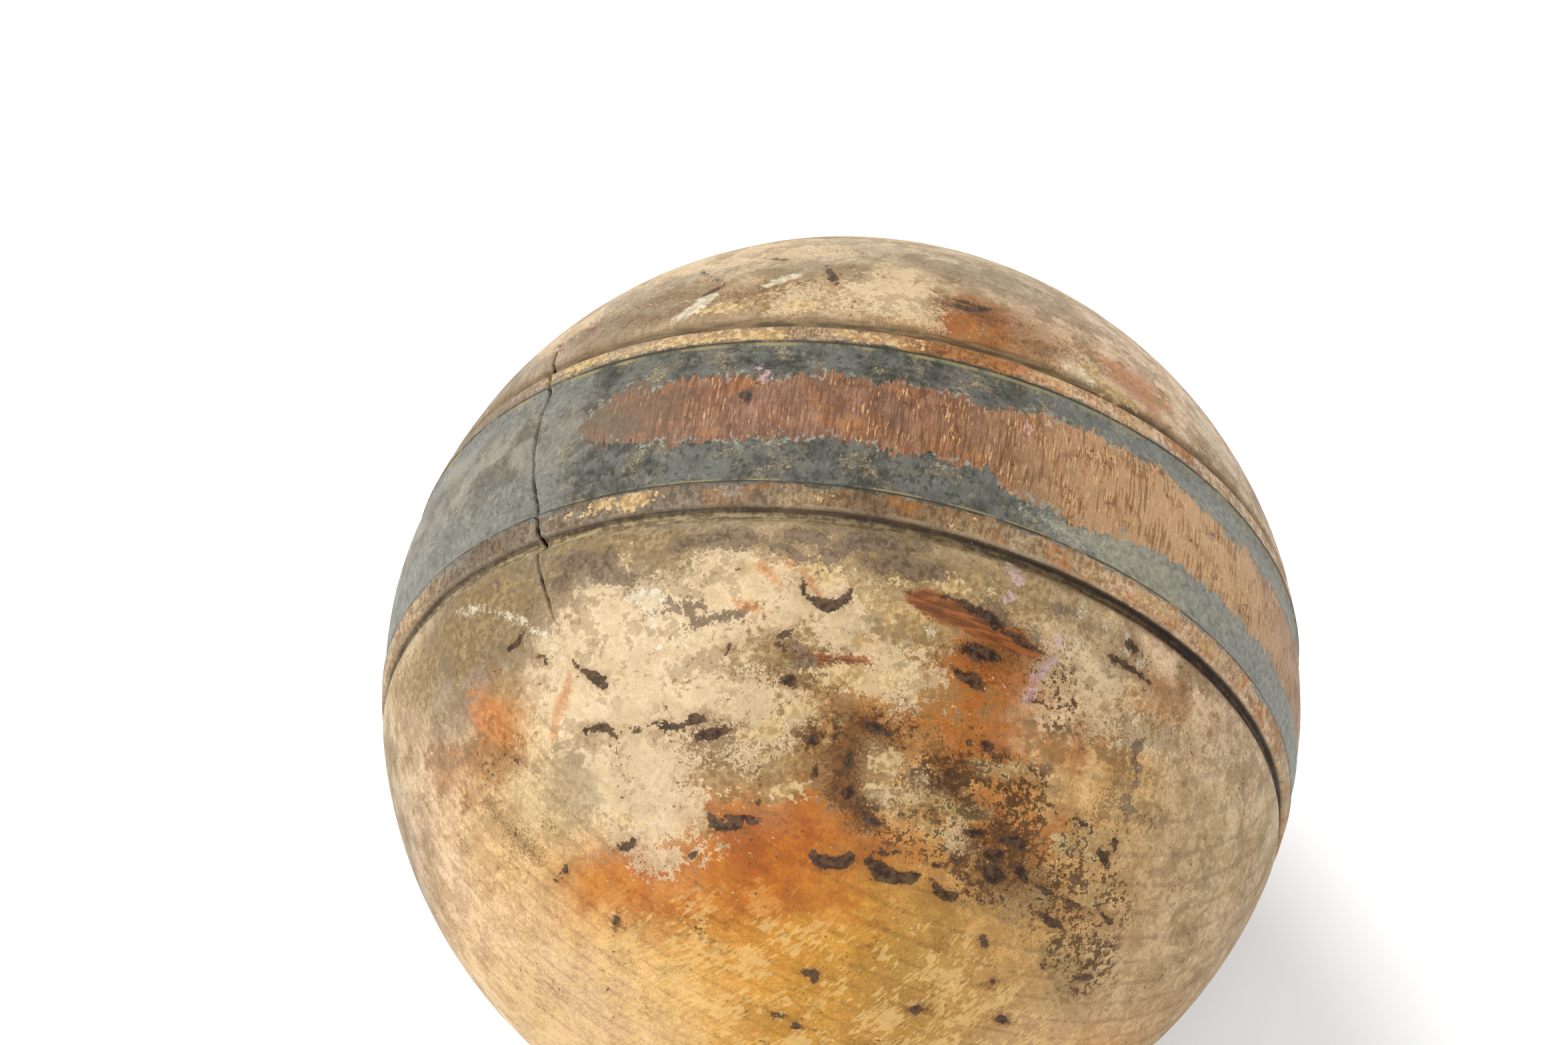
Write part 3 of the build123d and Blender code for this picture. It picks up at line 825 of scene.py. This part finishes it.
def band_wood(g, colour, fibre, across):
    """The worn crown of the band: red-brown, with pale torn fibres in dashes along the grain."""
    crown = g.mix(g.rise(fibre[1], 0.36, 0.64), tint(112, 80, 62), tint(154, 114, 88))
    crown = g.lay(g.rise(g.broad[1], 0.44, 0.58), 0.5, crown, tint(96, 68, 52))
    crown = g.lay(g.rise(g.broad[0], 0.52, 0.62), 0.45, crown, tint(186, 124, 72))
    crown = g.lay(g.rise(g.field("dash"), 0.4, 1.2), 0.9, crown, tint(232, 188, 138))
    crown = g.lay(g.rise(g.broad[2], 0.5, 0.58), 0.5, crown, tint(124, 80, 50))
    dash = g.noise(0.15, 3, 10, stretch=(1, 11, 1))
    dashes = g.math("MULTIPLY_ADD", g.field("dash"), 0.11, g.push(dash[0], g.broad[2], 0.25))
    dashes = g.rise(dashes, 0.65, 0.74)
    crown = g.lay(dashes, 0.55, crown, tint(240, 196, 140))
    streak = g.noise(0.3, 3, 12, stretch=(1, 16, 1))
    streaks = g.rise(g.push(streak[1], g.broad[0], 0.3), 0.54, 0.66)
    crown = g.lay(streaks, 0.55, crown, tint(84, 54, 34))
    dots = g.rise(g.push(g.fine[2], g.broad[2], 0.3), 0.66, 0.72)
    crown = g.lay(dots, 0.6, crown, tint(72, 54, 40))
    soot = g.product(g.field("soot"), g.push(0.75, g.broad[1], 0.9))
    crown = g.mix(g.rise(soot, 0.0, 1.0), crown, g.mix(g.fine[1], tint(84, 72, 58), tint(132, 118, 98)))
    crown = g.scale(crown, g.push(1.0, g.grain[1], 0.26))
    mottled = g.push(g.fine[2], streak[2], 0.25)
    rim = g.mix(g.rise(mottled, 0.44, 0.6), colour, g.times(colour, (0.62, 0.54, 0.46)))
    warm = g.product(g.rise(g.broad[2], 0.46, 0.58), g.field("silt"))
    rim = g.lay(warm, 0.6, rim, tint(186, 112, 54))
    colour = g.mix(g.rise(across, LIP + 0.1, LIP - 0.1), colour, rim)
    return g.mix(g.rise(across, BAND_EDGE + 0.1, BAND_EDGE - 0.1), colour, crown)


def paint_colours(g, fibre, across):
    """Old paint, grey-green and matte, with fine cracks, paler where the weather has been at it, and
    lightened by a painted sheen towards the ball's left and right edges as the camera sees them.
    """
    paint = g.mix(g.rise(g.broad[2], 0.38, 0.6), tint(66, 66, 60), tint(104, 103, 96))
    paint = g.lay(g.rise(g.fine[0], 0.5, 0.66), 0.4, paint, tint(118, 112, 88))
    paint = g.lay(g.rise(g.fine[2], 0.54, 0.62), 0.6, paint, tint(50, 49, 40))
    scuffs = g.rise(g.push(g.fine[1], g.broad[1], 0.5), 0.6, 0.72)
    paint = g.lay(scuffs, 0.4, paint, tint(150, 148, 132))
    paint = g.lay(g.rise(g.broad[1], 0.5, 0.62), 0.4, paint, tint(92, 78, 58))
    # Painted sheen: the paint is lightened towards the ball's left and right edges as the camera sees them.
    painted_sheen = g.product(g.field("paint_sheen"), g.push(0.7, g.fine[1], 0.5))
    paint = g.mix(painted_sheen, paint, tint(176, 175, 164))
    smear = g.product(g.inside(g.field("smear"), 2.0, 2.0, 0), g.push(0.4, g.fine[2], 0.4))
    paint = g.mix(smear, paint, g.mix(g.rise(g.broad[2], 0.42, 0.6), tint(96, 76, 56), tint(158, 148, 128)))
    pale = g.inside(g.field("fade"), 0.6, 0.35, 1, grain=0.6)
    faded = g.mix(g.fine[1], tint(96, 94, 78), tint(190, 186, 164))
    paint = g.lay(pale, 0.85, paint, faded)
    chips = g.rise(g.push(g.grain[2], g.broad[1], 0.45), 0.72, 0.78)
    paint = g.lay(chips, 0.6, paint, tint(176, 158, 112))
    edge = g.close_to(across, BAND_EDGE - 0.25, 0.2, 0.08)
    edge = g.product(edge, g.rise(g.broad[1], 0.42, 0.56))
    paint = g.lay(edge, 0.75, paint, tint(150, 138, 98))
    return g.scale(paint, g.push(g.push(1.0, g.grain[0], 0.22), fibre[2], 0.16))


def weathered_wood():
    """The material of the ball. The wood under the paint has its colours too, so that no gap shows."""
    g = Graph("weathered_wood")
    colour, rough, fibre, lathe, y = ball_surface(g)
    across = g.product(g.math("ABSOLUTE", y), 1 / MM)
    colour = band_wood(g, colour, fibre, across)
    return dress(g, colour, rough, fibre, lathe, y, across)


def old_paint():
    """The material of the paint. Where the film is worn away it looks like the wood below it."""
    g = Graph("old_paint")
    colour, fibre, y = bare_wood(g)
    across = g.product(g.math("ABSOLUTE", y), 1 / MM)
    colour = band_wood(g, colour, fibre, across)
    return dress(g, colour, 0.6, fibre, g.noise(0.3, 3, 5, stretch=(9, 1, 9)), y, across)


def dress(g, colour, rough, fibre, lathe, y, across):
    """Adds the paint, the dirt in the grooves and the sharp marks, and finishes the material."""
    teeth = g.noise(0.42, 2, 8, stretch=(1, 5, 1))
    torn = g.product(g.math("MULTIPLY_ADD", teeth[0], 2.7, -1.35), g.rise(across, 7.9, 6.9))
    paint_edge = g.math("ADD", g.field("paint"), torn)
    painted = g.inside(paint_edge, 0.5, 0.05, 0, 0.35, 0.2)
    near_edge = g.close_to(paint_edge, -0.1, 0.7, 0.15)
    primer = g.product(near_edge, g.rise(g.fine[1], 0.5, 0.58))
    primer = g.product(primer, g.rise(across, 7.4, 6.6))
    primer = g.product(primer, g.rise(g.broad[1], 0.46, 0.54))
    colour = g.mix(painted, colour, paint_colours(g, fibre, across))
    colour = g.lay(primer, 0.8, colour, tint(150, 154, 144))
    rough = g.blend(painted, rough, 0.6)

    minus_side = g.rise(y, 0.5 * MM, -0.5 * MM)
    groove = g.rise(across, GROOVE_END + 0.3, GROOVE + 0.1)
    groove = g.product(groove, g.rise(across, LIP, LIP + 0.25))
    pale_part = g.rise(g.push(g.fine[1], lathe[2], 0.3), 0.42, 0.6)
    bare = g.mix(pale_part, tint(120, 102, 76), tint(172, 154, 118))
    dark_part = g.rise(g.push(g.fine[0], lathe[2], 0.3), 0.46, 0.6)
    packed = g.mix(dark_part, tint(36, 27, 18), tint(88, 64, 38))
    dry = g.mix(g.rise(lathe[2], 0.38, 0.62), tint(96, 80, 58), tint(140, 118, 88))
    packed = g.mix(g.field("silt"), bare, packed)
    colour = g.lay(groove, 0.95, colour, g.mix(minus_side, dry, packed))
    seam = g.close_to(across, LIP + 0.2, 0.2, 0.1)
    seam = g.product(seam, g.blend(g.product(minus_side, g.field("silt")), 0.6, 0.85))
    colour = g.mix(seam, colour, tint(44, 34, 24))
    line = g.close_to(across, BAND_EDGE, 0.16, 0.05)
    line = g.product(line, g.rise(g.broad[0], 0.3, 0.5))
    colour = g.lay(line, 0.85, colour, tint(62, 52, 38))
    # A pale line along the -Y lip: partly wear, partly a painted highlight on the sharp edge.
    lip_wear_and_highlight = g.close_to(across, LIP - 0.07, 0.14, 0.04)
    lip_wear_and_highlight = g.product(g.product(lip_wear_and_highlight, minus_side), g.rise(g.broad[1], 0.4, 0.56))
    colour = g.lay(lip_wear_and_highlight, 0.35, colour, tint(170, 158, 138))

    height = g.math("MULTIPLY_ADD", fibre[0], 0.5, g.product(g.fine[0], 0.8))
    height = g.math("ADD", height, g.product(lathe[1], 0.3))
    height = g.math("ADD", height, g.product(painted, g.product(g.fine[1], 0.8)))

    def mark(name, dark, light, ragged, soft, strength, which, finish, raised, grain=0.25, pattern=None):
        nonlocal colour, rough, height
        mask = g.inside(g.field(name), ragged, soft, which, grain=grain)
        mask = g.product(mask, strength)
        pattern = g.fine[which] if pattern is None else pattern
        colour = g.mix(mask, colour, g.mix(g.rise(pattern, 0.4, 0.62), tint(*dark), tint(*light)))
        rough = g.blend(mask, rough, finish)
        height = g.math("ADD", height, g.product(mask, raised))

    if g.material.name == "weathered_wood":
        mark("flake", (166, 136, 88), (214, 186, 138), 1.7, 0.12, 0.8, 2, 0.7, 0.3, 0.5)
        mark("torn", (102, 58, 36), (154, 90, 52), 0.6, 0.25, 0.9, 0, 0.6, -0.5, 0.5, lathe[0])
        mark("taupe", (84, 68, 56), (120, 102, 84), 1.5, 0.08, 0.8, 1, 0.6, 0.5, 0.4)
        mark("russet", (164, 100, 56), (204, 138, 86), 0.7, 0.2, 0.6, 0, 0.6, 0.2, 0.5)
        specks = g.push(g.push(g.product(g.field("speckle"), 0.22), g.fine[2], 3.4), g.broad[0], 3.0)
        specks = g.rise(g.push(specks, g.grain[2], 1.8), 0.55, 0.95)
        specks = g.product(specks, g.rise(g.field("speckle"), -1.5, 0.5))
        black_to_brown = g.mix(g.fine[0], tint(40, 30, 20), tint(100, 70, 40))
        colour = g.lay(specks, 0.85, colour, black_to_brown)
        mark("hair", (96, 72, 48), (150, 116, 78), 0.16, 0.12, 0.6, 1, 0.6, -0.3, 0.1)
    mark("chalk", (204, 190, 160), (236, 226, 204), 0.6, 0.2, 0.62, 2, 0.8, 0.3, 0.5)
    mark("lilac", (176, 144, 140), (208, 178, 180), 0.9, 0.15, 0.6, 0, 0.7, 0.3, 0.5)
    halo = g.rise(g.push(g.push(g.field("black"), g.fine[0], 1.2), g.grain[1], 0.6), -0.9, 0.1)
    halo = g.product(g.product(halo, 0.3), g.rise(across, 12.5, 13.5))
    colour = g.mix(halo, colour, tint(122, 80, 42))
    mark("black", (44, 34, 27), (88, 68, 52), 0.5, 0.05, 0.92, 1, 0.55, 0.2, 0.16)
    crack = g.rise(g.field("hollow"), 0.1, 0.45)
    colour = g.mix(crack, colour, tint(36, 28, 22))
    return g.finish(colour, rough, height)


# ---------------------------------------------------------------- pieces

ball = turned_ball()
ball.data.materials.append(weathered_wood())
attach(ball, "root")
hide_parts("wooden_ball")

paint = band_paint()
paint.data.materials.append(old_paint())
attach(paint, "root")
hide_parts("painted_band")

# ---------------------------------------------------------------- floor, light and camera


def plain_floor(height):
    mesh = bpy.data.meshes.new("floor")
    corners = [(x, y, height) for x, y in ((-4, -4), (4, -4), (4, 4), (-4, 4))]
    mesh.from_pydata(corners, [], [(0, 1, 2, 3)])
    floor = bpy.data.objects.new("floor", mesh)
    bpy.context.scene.collection.objects.link(floor)
    material = bpy.data.materials.new("plain_floor")
    material.use_nodes = True
    shader = material.node_tree.nodes["Principled BSDF"]
    shader.inputs["Base Color"].default_value = (0.9, 0.9, 0.9, 1)
    shader.inputs["Roughness"].default_value = 0.9
    mesh.materials.append(material)
    floor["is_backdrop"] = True


def soft_light(name, place, size, power):
    data = bpy.data.lights.new(name, "AREA")
    data.shape = "DISK"
    data.size = size
    data.energy = power
    light = bpy.data.objects.new(name, data)
    light.location = place
    light.rotation_euler = (-Vector(place)).to_track_quat("-Z", "Y").to_euler()
    bpy.context.scene.collection.objects.link(light)


plain_floor(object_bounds()[0][2])
soft_light("window", (-0.55, 0.45, 0.95), 0.7, 13.0)
soft_light("room", (-0.15, -0.95, 0.5), 0.9, 6.5)

world = bpy.data.worlds.new("studio")
world.use_nodes = True
world.node_tree.nodes["Background"].inputs["Color"].default_value = (1, 1, 1, 1)
world.node_tree.nodes["Background"].inputs["Strength"].default_value = 0.75
bpy.context.scene.world = world
bpy.context.scene.view_settings.view_transform = "Standard"

# The camera looks down at the ball from the -Y side. The ball's centre is a little right of the line of
# sight and below it, and the bottom of the ball is out of the picture.
HEADING = np.radians(7.9)
PITCH = np.radians(52.7)
DISTANCE = 0.3314
BALL_RIGHT = np.tan(np.radians(0.99))
BALL_BELOW = np.tan(np.radians(3.01))

right = Vector((np.cos(HEADING), np.sin(HEADING), 0))
forward = Vector((-np.sin(HEADING) * np.cos(PITCH), np.cos(HEADING) * np.cos(PITCH), -np.sin(PITCH)))
up = right.cross(forward)
to_ball = (forward + right * BALL_RIGHT - up * BALL_BELOW).normalized()
camera = bpy.data.objects.new("camera", bpy.data.cameras.new("camera"))
camera.data.lens = 76.5
camera.data.sensor_width = 36.0
camera.data.clip_start = 0.01
camera.matrix_world = Matrix((right, up, -forward)).transposed().to_4x4()
camera.location = -to_ball * DISTANCE
bpy.context.scene.collection.objects.link(camera)
bpy.context.scene.camera = camera
